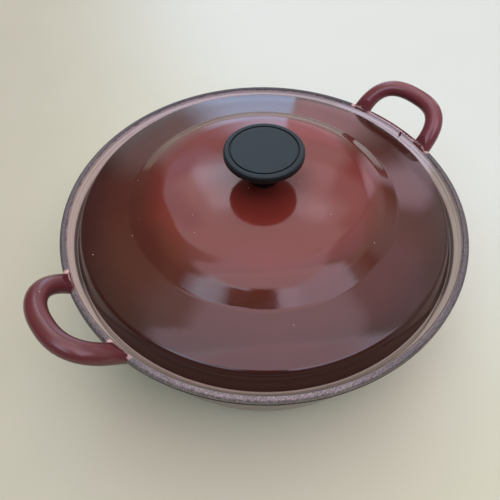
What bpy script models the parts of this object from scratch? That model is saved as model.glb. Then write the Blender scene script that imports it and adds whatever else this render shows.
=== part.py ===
# Enamelled cast-iron dutch oven: a tapered pot with two loop handles cast in one piece with it,
# a domed lid that drops into a recess in the rim, and a black mushroom knob that a screw
# holds to the lid from below.
# Units are metres. +Z is up, the table is Z = 0, and the handles point along +X and -X.

from math import acos, cos, exp, hypot, pi, radians, sin, tan

import bmesh
import bpy
from mathutils import Matrix, Vector

# Pot: outside
POT_HEIGHT = 0.0945          # table to the top of the rim
RIM_RADIUS = 0.136           # outermost edge of the rim
RIM_CREST_WIDTH = 0.0037     # from that edge in to the crest of the rim
RIM_BAND_DEPTH = 0.0076      # height of the rim's thickened outer band
RIM_LOWER_ROUND = 0.003      # rounding under the band
RIM_OVERHANG = 0.0065        # how far the band stands out from the wall below it
WALL_TAPER = 0.0173          # how much narrower the wall's line is at the table than at the rim
BODY_CORNER_ROUND = 0.040    # big round between the wall and the flat base
POT_WALL = 0.0042            # casting thickness of wall and floor

# Pot: recess for the lid
SEAT_DEPTH = 0.0108          # crest of the rim down to the ledge that the lid stands on
SEAT_WIDTH = 0.0056          # width of the ledge
SEAT_SLOPE_WIDTH = 0.0050    # how far the recess widens from the ledge up to the crest
LEDGE_THICKNESS = 0.0030     # straight face under the ledge's inner edge
LEDGE_BLEND = 0.0045         # slope from there back to the wall

# Loop handles
HANDLE_REACH = 0.0200        # from the rim's edge out to the bar's middle at the tip
HANDLE_HALF_SPAN = 0.0300    # from the handle's axis to the middle of each leg
HANDLE_TIP_DEPTH = 0.0240    # length of the rounded end of the loop
HANDLE_SQUARENESS = 2.3      # 2 is an ellipse, more is squarer
HANDLE_TIP_RISE = 0.0154     # middle of the bar at the tip, above the rim
HANDLE_ROOT_DROP = 0.0090    # middle of the bar at its end in the wall, below the rim
HANDLE_RISE_POWER = 1.5      # how soon the bar levels out on its way to the tip
HANDLE_ROOT_INSET = 0.0105   # how far the bar's end lies inside the rim's edge
BAR_WIDTH = 0.0126           # across the bar, seen from above
BAR_THICKNESS = 0.0112       # across the bar, seen from the side
ROOT_SWELL = 0.22            # how much thicker the bar is at its end in the wall
ROOT_SWELL_LENGTH = 0.009    # how soon the swelling dies away

# Lid
LID_RIM_CLEARANCE = 0.0007   # all round, between the lid's edge and the recess
LID_WALL = 0.0040            # casting thickness
LID_EDGE_HEIGHT = 0.0137     # corner where the edge's and the flange's lines meet, above the ledge
LID_EDGE_LEAN = 0.0051       # how far that corner lies inside the foot of the edge
LID_EDGE_ROUND = 0.0040      # round between the edge and the flange
LID_EDGE_CHAMFER = 0.0006    # at the foot of the edge
FLANGE_BREAK_RADIUS = 0.107  # where the flange bends from its flatter to its steeper part
FLANGE_BREAK_HEIGHT = 0.0176 # that place, above the ledge
FLANGE_ROUND = 0.120         # slow curve over the bend
CREASE_RADIUS = 0.0879       # foot of the raised dome
CREASE_HEIGHT = 0.0216       # that foot, above the ledge
CREASE_ROUND = 0.008
SHOULDER_RADIUS = 0.0720     # where the dome's top and its side would meet
SHOULDER_HEIGHT = 0.0317     # that corner, above the ledge
SHOULDER_ROUND = 0.028
DOME_CURVE = 0.420           # radius of the curve of the dome's top
KNOB_PAD_RADIUS = 0.0105     # flat on the middle of the lid for the knob

# Knob
KNOB_HEIGHT = 0.0241
KNOB_DISC_RADIUS = 0.0248
KNOB_DISC_THICKNESS = 0.0050
KNOB_EDGE_ROUND = 0.0023
KNOB_FOOT_RADIUS = 0.0092
KNOB_NECK_RADIUS = 0.0118    # top of the neck, below the disc's hollow
KNOB_NECK_HEIGHT = 0.0130
KNOB_FOOT_ROUND = 0.0010
KNOB_NECK_ROUND = 0.0040
GROOVE_RADIUS = 0.0209       # ring groove in the knob's top
GROOVE_WIDTH = 0.0011
GROOVE_DEPTH = 0.0009

# Fastening of the knob
SCREW_RADIUS = 0.0030
SCREW_BITE = 0.0105          # length of thread inside the insert
SCREW_HEAD_RADIUS = 0.0060
SCREW_HEAD_HEIGHT = 0.0034
SCREW_HEAD_ROUND = 0.0012
SLOT_WIDTH = 0.0014
SLOT_DEPTH = 0.0016
CUTTER_OVERRUN = 0.002       # how far a cutting form runs past the piece that it cuts
WASHER_RADIUS = 0.0074
WASHER_THICKNESS = 0.0012
INSERT_RADIUS = 0.0048
INSERT_LENGTH = 0.0135
INSERT_ROOF = 0.0020         # solid brass above the thread
INSERT_WAIST_DEPTH = 0.0007  # ring groove that keeps the insert in the knob
INSERT_WAIST_LENGTH = 0.0040

# Clearances
TOUCH_GAP = 0.0003           # between pieces that rest on each other
THREAD_CLEARANCE = 0.0003    # round the screw in its hole and in the insert
MOULD_CLEARANCE = 0.0003     # round the insert in the knob

# Fineness of the faceted solids
LARGE_TURN_STEPS = 64
KNOB_TURN_STEPS = 32
SCREW_TURN_STEPS = 20
ARC_DEVIATION = 0.00014      # between an arc and its facets
ARC_STEP_LIMIT = radians(24)
SMALLEST_TURN = radians(0.5)  # a corner that turns less than this stays a corner
ARC_SHARE = 0.49             # the most of an outline's side that one round may use up
BAR_SIDES = 14
BAR_STATIONS = 15            # round the loop's rounded end
LEG_STATIONS = 4             # along each straight leg
DOME_STATIONS = 3
SHARP_EDGE = radians(35)
WELD_DISTANCE = 1e-6


def clear_scene():
    for thing in list(bpy.data.objects):
        bpy.data.objects.remove(thing, do_unlink=True)


def make_material(name, colour, roughness, metallic):
    material = bpy.data.materials.new(name)
    material.use_nodes = True
    shader = material.node_tree.nodes["Principled BSDF"]
    shader.inputs["Base Color"].default_value = (*colour, 1.0)
    shader.inputs["Roughness"].default_value = roughness
    shader.inputs["Metallic"].default_value = metallic
    return material


# An outline is a list of corners (radius, height, round). rounded() turns it into the points
# of a profile, and parallel() moves it sideways by a casting's thickness.

def rounded(corners):
    points = []
    last = len(corners) - 1
    for index, (radius, height, fillet) in enumerate(corners):
        here = Vector((radius, height))
        if fillet == 0 or index in (0, last):
            points.append(here)
            continue
        before = Vector(corners[index - 1][:2]) - here
        after = Vector(corners[index + 1][:2]) - here
        turn = pi - before.angle(after)
        if turn < SMALLEST_TURN:
            points.append(here)
            continue
        room = ARC_SHARE * min(before.length, after.length)
        reach = min(fillet * tan(turn / 2), room)
        arc_radius = reach / tan(turn / 2)
        before.normalize()
        after.normalize()
        start = here + before * reach
        middle = here + (before + after).normalized() * hypot(arc_radius, reach)
        chord_drop = min(ARC_DEVIATION / arc_radius, 1)
        arc_step = min(2 * acos(1 - chord_drop), ARC_STEP_LIMIT)
        steps = max(1, round(turn / arc_step))
        side = 1 if before.cross(after) < 0 else -1
        for step in range(steps + 1):
            turned = Matrix.Rotation(side * turn * step / steps, 2) @ (start - middle)
            points.append(middle + turned)
    return points


def parallel(corners, distance):
    moved = []
    last = len(corners) - 1
    for index, (radius, height, fillet) in enumerate(corners):
        here = Vector((radius, height))
        normals = []
        for other, sign in ((index - 1, 1), (index + 1, -1)):
            if 0 <= other <= last:
                along = (here - Vector(corners[other][:2])).normalized() * sign
                normals.append(Vector((-along.y, along.x)))
        mean = sum(normals, Vector((0, 0))).normalized()
        place = here + mean * distance / mean.dot(normals[0])
        if fillet and len(normals) == 2:
            bend = normals[0].cross(normals[1])
            fillet = max(fillet - distance, 0) if bend > 0 else fillet + distance
        moved.append((place.x, place.y, fillet))
    return moved


def turned_mesh(points, steps):
    form = bmesh.new()
    rim = [form.verts.new((point[0], 0, point[1])) for point in points]
    edges = [form.edges.new(pair) for pair in zip(rim, rim[1:])]
    if points[0][0] > 0:
        edges.append(form.edges.new((rim[-1], rim[0])))
    bmesh.ops.spin(form, geom=rim + edges, axis=(0, 0, 1), cent=(0, 0, 0),
                   angle=2 * pi, steps=steps, use_merge=True)
    bmesh.ops.remove_doubles(form, verts=form.verts, dist=WELD_DISTANCE)
    bmesh.ops.recalc_face_normals(form, faces=form.faces)
    return form


def add_object(name, form, material):
    mesh = bpy.data.meshes.new(name)
    form.to_mesh(mesh)
    form.free()
    mesh.shade_smooth()
    mesh.set_sharp_from_angle(angle=SHARP_EDGE)
    mesh.materials.append(material)
    thing = bpy.data.objects.new(name, mesh)
    bpy.context.scene.collection.objects.link(thing)
    return thing


def guide(name, form, material):
    thing = add_object(name, form, material)
    thing.display_type = "WIRE"
    thing.hide_render = True
    return thing


def combine(thing, tool, operation):
    modifier = thing.modifiers.new(tool.name, "BOOLEAN")
    modifier.operation = operation
    modifier.solver = "EXACT"
    modifier.object = tool


# Heights and radii that several pieces share

CREST_RADIUS = RIM_RADIUS - RIM_CREST_WIDTH
LEDGE_HEIGHT = POT_HEIGHT - SEAT_DEPTH
RECESS_RADIUS = CREST_RADIUS - SEAT_SLOPE_WIDTH
LEDGE_RADIUS = RECESS_RADIUS - SEAT_WIDTH
LID_RADIUS = RECESS_RADIUS - LID_RIM_CLEARANCE
LID_FOOT = LEDGE_HEIGHT + TOUCH_GAP
DOME_DROP = (SHOULDER_RADIUS ** 2 - KNOB_PAD_RADIUS ** 2) / (2 * DOME_CURVE)
LID_TOP = LEDGE_HEIGHT + SHOULDER_HEIGHT + DOME_DROP
KNOB_FOOT = LID_TOP + TOUCH_GAP
WASHER_TOP = LID_TOP - LID_WALL - TOUCH_GAP
HEAD_TOP = WASHER_TOP - WASHER_THICKNESS - TOUCH_GAP


# Pot

def pot_outside():
    wall_top = RIM_RADIUS - RIM_OVERHANG
    band_foot = POT_HEIGHT - RIM_BAND_DEPTH
    return [
        (0, 0, 0),
        (wall_top - WALL_TAPER, 0, BODY_CORNER_ROUND),
        (wall_top, band_foot, RIM_LOWER_ROUND / 2),
        (RIM_RADIUS, band_foot, RIM_LOWER_ROUND),
        (RIM_RADIUS, POT_HEIGHT, RIM_CREST_WIDTH),
        (CREST_RADIUS, POT_HEIGHT, 0),
        (0, POT_HEIGHT, 0),
    ]


def pot_cavity():
    wall = parallel(pot_outside()[:3], POT_WALL)
    foot, top = wall[1], wall[2]
    ledge_foot = LEDGE_HEIGHT - LEDGE_THICKNESS
    slope = (top[0] - foot[0]) / (top[1] - foot[1])
    blend_height = ledge_foot - LEDGE_BLEND
    blend_radius = foot[0] + slope * (blend_height - foot[1])
    above = POT_HEIGHT + HANDLE_TIP_RISE + BAR_THICKNESS + CUTTER_OVERRUN
    return [
        (0, POT_WALL, 0),
        foot,
        (blend_radius, blend_height, LEDGE_BLEND),
        (LEDGE_RADIUS, ledge_foot, 0),
        (LEDGE_RADIUS, LEDGE_HEIGHT, 0),
        (RECESS_RADIUS, LEDGE_HEIGHT, 0),
        (CREST_RADIUS, POT_HEIGHT, 0),
        (CREST_RADIUS, above, 0),
        (0, above, 0),
    ]


def handle_centre(angle):
    # angle runs from -90 to 90 degrees round the loop's rounded end
    across = HANDLE_HALF_SPAN * abs(sin(angle)) ** (2 / HANDLE_SQUARENESS)
    outward = HANDLE_TIP_DEPTH * max(cos(angle), 0) ** (2 / HANDLE_SQUARENESS)
    radius = RIM_RADIUS + HANDLE_REACH - HANDLE_TIP_DEPTH + outward
    return radius, across if angle >= 0 else -across


def handle_route():
    root = RIM_RADIUS - HANDLE_ROOT_INSET
    tip = RIM_RADIUS + HANDLE_REACH
    leg_end = tip - HANDLE_TIP_DEPTH
    leg = []
    for step in range(LEG_STATIONS):
        leg.append((root + (leg_end - root) * step / LEG_STATIONS, -HANDLE_HALF_SPAN))
    plan = list(leg)
    for step in range(BAR_STATIONS + 1):
        plan.append(handle_centre(-pi / 2 + pi * step / BAR_STATIONS))
    plan += [(radius, -across) for radius, across in reversed(leg)]
    route = []
    rise = HANDLE_TIP_RISE + HANDLE_ROOT_DROP
    for radius, across in plan:
        left = (tip - radius) / (tip - root)
        height = POT_HEIGHT + HANDLE_TIP_RISE - rise * left ** HANDLE_RISE_POWER
        route.append(Vector((radius, across, height)))
    return route


def ring_edges(ring):
    members = set(ring)
    edges = {edge for vert in ring for edge in vert.link_edges}
    return [edge for edge in edges if members.issuperset(edge.verts)]


def handle_bar(side):
    route = handle_route()
    form = bmesh.new()
    rings = []
    for index, place in enumerate(route):
        ahead = route[min(index + 1, len(route) - 1)]
        behind = route[max(index - 1, 0)]
        along = (ahead - behind).normalized()
        flat = Vector((along.y, -along.x, 0)).normalized()
        up = flat.cross(along)
        root_distance = place.x - (RIM_RADIUS - HANDLE_ROOT_INSET)
        swell = 1 + ROOT_SWELL * exp(-root_distance / ROOT_SWELL_LENGTH)
        wide = flat * swell * BAR_WIDTH / 2
        thick = up * swell * BAR_THICKNESS / 2
        ring = bmesh.ops.create_circle(form, segments=BAR_SIDES, radius=1)["verts"]
        section = Matrix((wide, thick, along)).transposed().to_4x4()
        bmesh.ops.transform(form, matrix=Matrix.Translation(place) @ section, verts=ring)
        rings.append(ring)
    for first, second in zip(rings, rings[1:]):
        edges = ring_edges(first) + ring_edges(second)
        bmesh.ops.bridge_loops(form, edges=edges)
    for ring in (rings[0], rings[-1]):
        bmesh.ops.contextual_create(form, geom=ring)
    half_turn = Matrix.Rotation(0 if side > 0 else pi, 3, "Z")
    bmesh.ops.rotate(form, verts=form.verts, cent=(0, 0, 0), matrix=half_turn)
    bmesh.ops.recalc_face_normals(form, faces=form.faces)
    return form


def make_pot(enamel):
    pot = add_object("pot", turned_mesh(rounded(pot_outside()), LARGE_TURN_STEPS), enamel)
    for name, side in (("handle_form_right", 1), ("handle_form_left", -1)):
        combine(pot, guide(name, handle_bar(side), enamel), "UNION")
    cavity = guide("cavity_form", turned_mesh(rounded(pot_cavity()), LARGE_TURN_STEPS), enamel)
    combine(pot, cavity, "DIFFERENCE")
    return pot


# Lid

def lid_outside():
    corners = [(SCREW_RADIUS + THREAD_CLEARANCE, LID_TOP, 0), (KNOB_PAD_RADIUS, LID_TOP, 0)]
    for step in range(1, DOME_STATIONS):
        radius = KNOB_PAD_RADIUS + (SHOULDER_RADIUS - KNOB_PAD_RADIUS) * step / DOME_STATIONS
        drop = (radius ** 2 - KNOB_PAD_RADIUS ** 2) / (2 * DOME_CURVE)
        corners.append((radius, LID_TOP - drop, 0))
    return corners + [
        (SHOULDER_RADIUS, LEDGE_HEIGHT + SHOULDER_HEIGHT, SHOULDER_ROUND),
        (CREASE_RADIUS, LEDGE_HEIGHT + CREASE_HEIGHT, CREASE_ROUND),
        (FLANGE_BREAK_RADIUS, LEDGE_HEIGHT + FLANGE_BREAK_HEIGHT, FLANGE_ROUND),
        (LID_RADIUS - LID_EDGE_LEAN, LEDGE_HEIGHT + LID_EDGE_HEIGHT, LID_EDGE_ROUND),
        (LID_RADIUS, LID_FOOT + LID_EDGE_CHAMFER, 0),
    ]


def make_lid(enamel):
    outside = lid_outside()
    inside = parallel(outside, -LID_WALL)
    below = rounded(inside)[:-1]
    foot = [
        Vector((LID_RADIUS - LID_EDGE_CHAMFER, LID_FOOT)),
        Vector((LID_RADIUS - LID_WALL, LID_FOOT)),
    ]
    points = rounded(outside) + foot + below[::-1]
    return add_object("lid", turned_mesh(points, LARGE_TURN_STEPS), enamel)


# Knob and its fastening

def insert_outside():
    waist = INSERT_RADIUS - INSERT_WAIST_DEPTH
    waist_foot = KNOB_FOOT + (INSERT_LENGTH - INSERT_WAIST_LENGTH) / 2
    waist_top = waist_foot + INSERT_WAIST_LENGTH
    top = KNOB_FOOT + INSERT_LENGTH
    return [
        (INSERT_RADIUS, KNOB_FOOT, 0),
        (INSERT_RADIUS, waist_foot, 0),
        (waist, waist_foot + INSERT_WAIST_DEPTH, 0),
        (waist, waist_top - INSERT_WAIST_DEPTH, 0),
        (INSERT_RADIUS, waist_top, 0),
        (INSERT_RADIUS, top, 0),
        (0, top, 0),
    ]


def make_knob(phenolic):
    top = KNOB_FOOT + KNOB_HEIGHT
    disc_foot = top - KNOB_DISC_THICKNESS
    groove_outer = GROOVE_RADIUS + GROOVE_WIDTH / 2
    groove_inner = GROOVE_RADIUS - GROOVE_WIDTH / 2
    outline = [(0, top, 0), (groove_inner, top, 0)]
    outline += [(groove_inner, top - GROOVE_DEPTH, 0), (groove_outer, top - GROOVE_DEPTH, 0)]
    outline += [(groove_outer, top, 0), (KNOB_DISC_RADIUS, top, KNOB_EDGE_ROUND)]
    outline += [(KNOB_DISC_RADIUS, disc_foot, KNOB_EDGE_ROUND)]
    outline += [(KNOB_NECK_RADIUS, KNOB_FOOT + KNOB_NECK_HEIGHT, KNOB_NECK_ROUND)]
    outline += [(KNOB_FOOT_RADIUS, KNOB_FOOT, KNOB_FOOT_ROUND)]
    outline += parallel(insert_outside(), -MOULD_CLEARANCE)
    return add_object("knob", turned_mesh(rounded(outline), KNOB_TURN_STEPS), phenolic)


def make_insert(brass):
    bore = SCREW_RADIUS + THREAD_CLEARANCE
    bore_top = KNOB_FOOT + INSERT_LENGTH - INSERT_ROOF
    outline = [(0, bore_top, 0), (bore, bore_top, 0), (bore, KNOB_FOOT, 0)] + insert_outside()
    return add_object("knob_insert", turned_mesh(rounded(outline), SCREW_TURN_STEPS), brass)


def make_washer(steel):
    bore = SCREW_RADIUS + THREAD_CLEARANCE
    foot = WASHER_TOP - WASHER_THICKNESS
    outline = [(bore, foot), (bore, WASHER_TOP), (WASHER_RADIUS, WASHER_TOP), (WASHER_RADIUS, foot)]
    return add_object("knob_washer", turned_mesh(outline, SCREW_TURN_STEPS), steel)


def make_screw(steel):
    tip = KNOB_FOOT + SCREW_BITE
    foot = HEAD_TOP - SCREW_HEAD_HEIGHT
    outline = rounded([
        (0, tip, 0),
        (SCREW_RADIUS, tip, 0),
        (SCREW_RADIUS, HEAD_TOP, 0),
        (SCREW_HEAD_RADIUS, HEAD_TOP, 0),
        (SCREW_HEAD_RADIUS, foot, SCREW_HEAD_ROUND),
        (0, foot, 0),
    ])
    screw = add_object("knob_screw", turned_mesh(outline, SCREW_TURN_STEPS), steel)
    slot = bmesh.new()
    length = 2 * (SCREW_HEAD_RADIUS + CUTTER_OVERRUN)
    size = Matrix.Diagonal((length, SLOT_WIDTH, SLOT_DEPTH + CUTTER_OVERRUN, 1))
    middle = foot + (SLOT_DEPTH - CUTTER_OVERRUN) / 2
    bmesh.ops.create_cube(slot, size=1, matrix=Matrix.Translation((0, 0, middle)) @ size)
    combine(screw, guide("slot_form", slot, steel), "DIFFERENCE")
    return screw


def main():
    clear_scene()
    maroon = make_material("maroon_enamel", (0.075, 0.014, 0.012), 0.16, 0.0)
    phenolic = make_material("black_phenolic", (0.012, 0.014, 0.016), 0.38, 0.0)
    brass = make_material("brass", (0.60, 0.42, 0.17), 0.35, 1.0)
    steel = make_material("zinc_plated_steel", (0.55, 0.55, 0.54), 0.32, 1.0)

    pot = make_pot(maroon)
    lid = make_lid(maroon)
    knob = make_knob(phenolic)
    insert = make_insert(brass)
    washer = make_washer(steel)
    screw = make_screw(steel)

    # The lid lifts straight up and carries the knob and its fastening
    lift = bpy.data.objects.new("lid_lift", None)
    bpy.context.scene.collection.objects.link(lift)
    lift.parent = pot
    for thing in (lid, knob, insert, washer, screw):
        thing.parent = lift


main()
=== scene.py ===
# %% [markdown]
# # An enamelled cast-iron dutch oven
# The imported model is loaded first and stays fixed: it says where the pot, the lid and the knob
# are, and what moves. Every piece made below rides on one of its two bodies. All lengths are in
# metres, +Z is up, and the pot stands on Z = 0 with its handles along +X and -X.

from math import atan2, cos, degrees, exp, hypot, pi, radians, sin, sqrt, tan

import bmesh
import bpy
from mathutils import Matrix, Vector


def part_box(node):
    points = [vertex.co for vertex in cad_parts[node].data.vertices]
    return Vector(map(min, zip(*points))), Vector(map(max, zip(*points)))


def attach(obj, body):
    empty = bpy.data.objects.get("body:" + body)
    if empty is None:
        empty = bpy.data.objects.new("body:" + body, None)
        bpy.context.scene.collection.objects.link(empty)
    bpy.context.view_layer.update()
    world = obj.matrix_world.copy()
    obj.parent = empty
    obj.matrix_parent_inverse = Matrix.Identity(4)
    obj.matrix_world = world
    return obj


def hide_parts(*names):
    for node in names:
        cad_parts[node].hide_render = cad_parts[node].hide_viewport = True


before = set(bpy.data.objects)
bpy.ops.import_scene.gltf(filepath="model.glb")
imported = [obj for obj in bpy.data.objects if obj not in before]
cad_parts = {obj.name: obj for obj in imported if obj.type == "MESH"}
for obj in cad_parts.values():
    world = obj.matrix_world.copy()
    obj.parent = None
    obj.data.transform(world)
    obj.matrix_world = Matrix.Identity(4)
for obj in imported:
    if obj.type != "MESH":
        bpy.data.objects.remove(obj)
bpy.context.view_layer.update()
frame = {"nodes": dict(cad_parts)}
nodes = frame["nodes"]

# %% [markdown]
# ## Camera
# The camera stands 345 mm from the middle of the rim and looks down on it at 48 degrees. The
# rim's middle isn't in the middle of the picture, so the camera is aimed a little past it: it
# is panned and tilted by the angle of the pixel at which the rim's middle appears, in a picture
# that is 500 pixels wide.

# %% Camera
PICTURE = 500
LENS = 36.0
SENSOR = 36.0
RIM_PIXEL = (262.97, 209.6)
CAMERA_DISTANCE = 0.34474
CAMERA_HEADING = radians(-41.37)
CAMERA_ELEVATION = radians(48.43)
CAMERA_ROLL = radians(1.01)
RIM_PLANE = 0.0912

focal = PICTURE * LENS / SENSOR
off_right = RIM_PIXEL[0] - PICTURE / 2
off_down = RIM_PIXEL[1] - PICTURE / 2
pan = atan2(off_right, hypot(focal, off_down))
tilt = atan2(off_down, focal)


def turned(angle, axis):
    return Matrix.Rotation(angle, 4, axis)


level = turned(CAMERA_HEADING, "Z") @ turned(pi / 2 - CAMERA_ELEVATION, "X")
aim = turned(CAMERA_ROLL, "Z") @ turned(pan, "Y") @ turned(tilt, "X")
stand = Vector((0, 0, RIM_PLANE)) + level @ Vector((0, 0, CAMERA_DISTANCE))

camera = bpy.data.objects.new("camera", bpy.data.cameras.new("camera"))
camera.data.lens = LENS
camera.data.sensor_width = SENSOR
camera.data.clip_start = 0.01
camera.matrix_world = Matrix.Translation(stand) @ level @ aim
bpy.context.scene.collection.objects.link(camera)
bpy.context.scene.camera = camera
print("camera stands at", [round(value, 4) for value in stand])

# %% [markdown]
# ## Shader maths that reads like Python
# A finish is a material whose numbers vary over the surface. Joining dozens of Math nodes by
# hand hides what they work out, so one small class wraps a socket and gives it the usual
# operators. Two more words cover most masks: rise goes smoothly from 0 to 1, and band is 1
# between two limits.

# %% Values
class Value:
    def __init__(self, nodes, socket):
        self.nodes = nodes
        self.socket = socket

    def math(self, operation, *others):
        inputs = dict(enumerate((self, *others)))
        return self.nodes.node("ShaderNodeMath", {"operation": operation}, inputs)

    def __add__(self, other):
        return self.math("ADD", other)

    def __sub__(self, other):
        return self.math("SUBTRACT", other)

    def __rsub__(self, other):
        return (self * -1).math("ADD", other)

    def __mul__(self, other):
        return self.math("MULTIPLY", other)

    def __truediv__(self, other):
        return self.math("DIVIDE", other)

    def __pow__(self, other):
        return self.math("POWER", other)

    __radd__ = __add__
    __rmul__ = __mul__

    def absolute(self):
        return self.math("ABSOLUTE")

    def rise(self, low, high):
        # 0 below low, 1 above high, and smooth between
        settings = {"interpolation_type": "SMOOTHSTEP"}
        inputs = {"Value": self, "From Min": low, "From Max": high}
        return self.nodes.node("ShaderNodeMapRange", settings, inputs)

    def band(self, low, high, soft):
        return self.rise(low - soft, low + soft) * (1 - self.rise(high - soft, high + soft))

# %% [markdown]
# Every other node comes from one method, Nodes.node, which sets the node's settings first and
# then its inputs. It takes plain numbers and wrapped sockets alike. The same class serves the
# materials and the world.

# %% Nodes of a tree
class Nodes:
    def __init__(self, tree, coordinates):
        self.tree = tree
        self.place = self.node("ShaderNodeTexCoord", output=coordinates)
        split = self.tree.nodes.new("ShaderNodeSeparateXYZ")
        self.tree.links.new(self.place.socket, split.inputs[0])
        self.x, self.y, self.z = (Value(self, socket) for socket in split.outputs)

    def node(self, kind, settings=None, inputs=None, output=0):
        node = self.tree.nodes.new(kind)
        for name, value in (settings or {}).items():
            setattr(node, name, value)
        for key, value in (inputs or {}).items():
            if isinstance(value, Value):
                self.tree.links.new(value.socket, node.inputs[key])
            else:
                node.inputs[key].default_value = value
        return Value(self, node.outputs[output])

    def mix(self, factor, first, second):
        # Colours have four numbers, and a Mix node holds their sockets under these indices
        inputs = {0: factor, 6: first, 7: second}
        return self.node("ShaderNodeMix", {"data_type": "RGBA"}, inputs, output=2)

    def vector(self, x, y, z):
        return self.node("ShaderNodeCombineXYZ", inputs={0: x, 1: y, 2: z})

# %% [markdown]
# A finish works on a piece's own coordinates in metres, so its patterns have real sizes: noise
# for clouds and grain, spots for dust and pits, and bump for what stands up or lies deep.

# %% Finishes
class Finish(Nodes):
    def __init__(self, name):
        self.material = bpy.data.materials.new(name)
        self.material.use_nodes = True
        super().__init__(self.material.node_tree, "Object")
        self.shader = self.tree.nodes["Principled BSDF"]
        self.radius = (self.x * self.x + self.y * self.y) ** 0.5

    def noise(self, grain, detail=2.0, roughness=0.5, place=None):
        # grain is the size of the pattern's lumps in metres
        inputs = {"Vector": place or self.place, "Scale": 1 / grain,
                  "Detail": detail, "Roughness": roughness}
        return self.node("ShaderNodeTexNoise", inputs=inputs)

    def spots(self, spacing, size, share, seed):
        # Round spots of the given radius; only a share of the cells holds one
        shift = self.node("ShaderNodeMapping", inputs={0: self.place, 1: (seed, 2 * seed, 0)})
        cells = self.tree.nodes.new("ShaderNodeTexVoronoi")
        cells.inputs["Scale"].default_value = 1 / spacing
        self.tree.links.new(shift.socket, cells.inputs["Vector"])
        distance = Value(self, cells.outputs["Distance"]) * spacing
        cell_colour = Value(self, cells.outputs["Color"])
        pick = self.node("ShaderNodeSeparateColor", inputs={0: cell_colour})
        chosen = 1 - pick.rise(share, share + 0.01)
        return chosen * (1 - distance.rise(0.5 * size, size))

    def bump(self, height, distance, under=None):
        inputs = {"Height": height, "Distance": distance}
        if under:
            inputs["Normal"] = under
        return self.node("ShaderNodeBump", inputs=inputs)

    def apply(self, shade, roughness, normal=None, metallic=0.0, ior=1.5):
        wanted = {"Base Color": shade, "Roughness": roughness, "Metallic": metallic, "IOR": ior}
        if normal:
            wanted["Normal"] = normal
        for name, value in wanted.items():
            if isinstance(value, Value):
                self.tree.links.new(value.socket, self.shader.inputs[name])
            else:
                self.shader.inputs[name].default_value = value
        print("finish", self.material.name, "has", len(self.tree.nodes), "nodes")
        return self.material


def colour(red, green, blue):
    return (red, green, blue, 1.0)

# %% [markdown]
# ## Turned pieces
# Pot, lid and knob are round, so each starts as half a section: a chain of a few corners joined
# by edges. A vertex bevel rounds each corner by its own radius, which keeps the numbers few and
# the curves true, and one spin round the Z axis makes the solid.

# %% Outline and spin
# How far a facet may lie from the true arc, the largest turn of one facet, and the largest share
# of an edge that one round may take
ARC_ERROR = 0.000012
ARC_STEP_MOST = radians(12)
ARC_ROOM = 0.49


def outline(corners, closed):
    form = bmesh.new()
    verts = [form.verts.new((radius, 0, height)) for radius, height, fillet in corners]
    pairs = list(zip(verts, verts[1:]))
    if closed:
        pairs.append((verts[-1], verts[0]))
    for pair in pairs:
        form.edges.new(pair)
    places = [vert.co.copy() for vert in verts]
    for index in range(1, len(corners) - 1):
        fillet = corners[index][2]
        if fillet == 0:
            continue
        before = places[index - 1] - places[index]
        after = places[index + 1] - places[index]
        turn = pi - before.angle(after)
        reach = min(fillet * tan(turn / 2), ARC_ROOM * before.length, ARC_ROOM * after.length)
        step = min(2 * sqrt(2 * ARC_ERROR / fillet), ARC_STEP_MOST)
        bmesh.ops.bevel(form, geom=[verts[index]], offset=reach, offset_type="OFFSET",
                        segments=max(2, round(turn / step)), profile=0.5,
                        affect="VERTICES", clamp_overlap=False, material=-1)
    return form


def spin(form, steps):
    bmesh.ops.spin(form, geom=form.verts[:] + form.edges[:], axis=(0, 0, 1), cent=(0, 0, 0),
                   angle=2 * pi, steps=steps, use_merge=True)
    bmesh.ops.remove_doubles(form, verts=form.verts, dist=1e-6)
    bmesh.ops.recalc_face_normals(form, faces=form.faces)
    return form

# %% [markdown]
# A finished form becomes a piece: an object that rides on the body it moves with and stands for a
# node of the fixed model. Edges sharper than a limit stay sharp in the shading.

# %% Pieces
def piece(name, form, finish, body, stands_for, sharp=40):
    mesh = bpy.data.meshes.new(name)
    form.to_mesh(mesh)
    form.free()
    mesh.shade_smooth()
    mesh.set_sharp_from_angle(angle=radians(sharp))
    mesh.materials.append(finish)
    thing = bpy.data.objects.new(name, mesh)
    bpy.context.scene.collection.objects.link(thing)
    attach(thing, body)
    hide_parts(stands_for)
    size = [round(1000 * value, 1) for value in thing.dimensions]
    print("piece", name, size, "mm,", len(mesh.polygons), "faces")
    return thing

# %% [markdown]
# A casting's wall has two faces at one distance. The second is the first chain of corners moved
# sideways, with each round made larger or smaller by the same distance.

# %% Walls
def offset(corners, distance):
    # The same chain of corners, moved to its left by a wall's thickness
    moved = []
    for index, (radius, height, fillet) in enumerate(corners):
        here = Vector((radius, height))
        sides = []
        if index > 0:
            sides.append((here - Vector(corners[index - 1][:2])).normalized())
        if index < len(corners) - 1:
            sides.append((Vector(corners[index + 1][:2]) - here).normalized())
        normals = [Vector((-side.y, side.x)) for side in sides]
        middle = sum(normals, Vector((0, 0))).normalized()
        place = here + middle * distance / middle.dot(normals[0])
        if fillet and len(normals) == 2:
            bend = normals[0].cross(normals[1])
            fillet = max(fillet - distance, 0) if bend > 0 else fillet + distance
        moved.append((place.x, place.y, fillet))
    return moved

# %% [markdown]
# ## Sizes
# The overall sizes are read from the fixed model, and the rest are the casting's own sizes,
# the same as in the part.

# %% Sizes of pot and lid
pot_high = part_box("pot")[1]
lid_low, lid_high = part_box("lid")
knob_low, knob_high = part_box("knob")

LARGE_STEPS = 224

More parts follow.
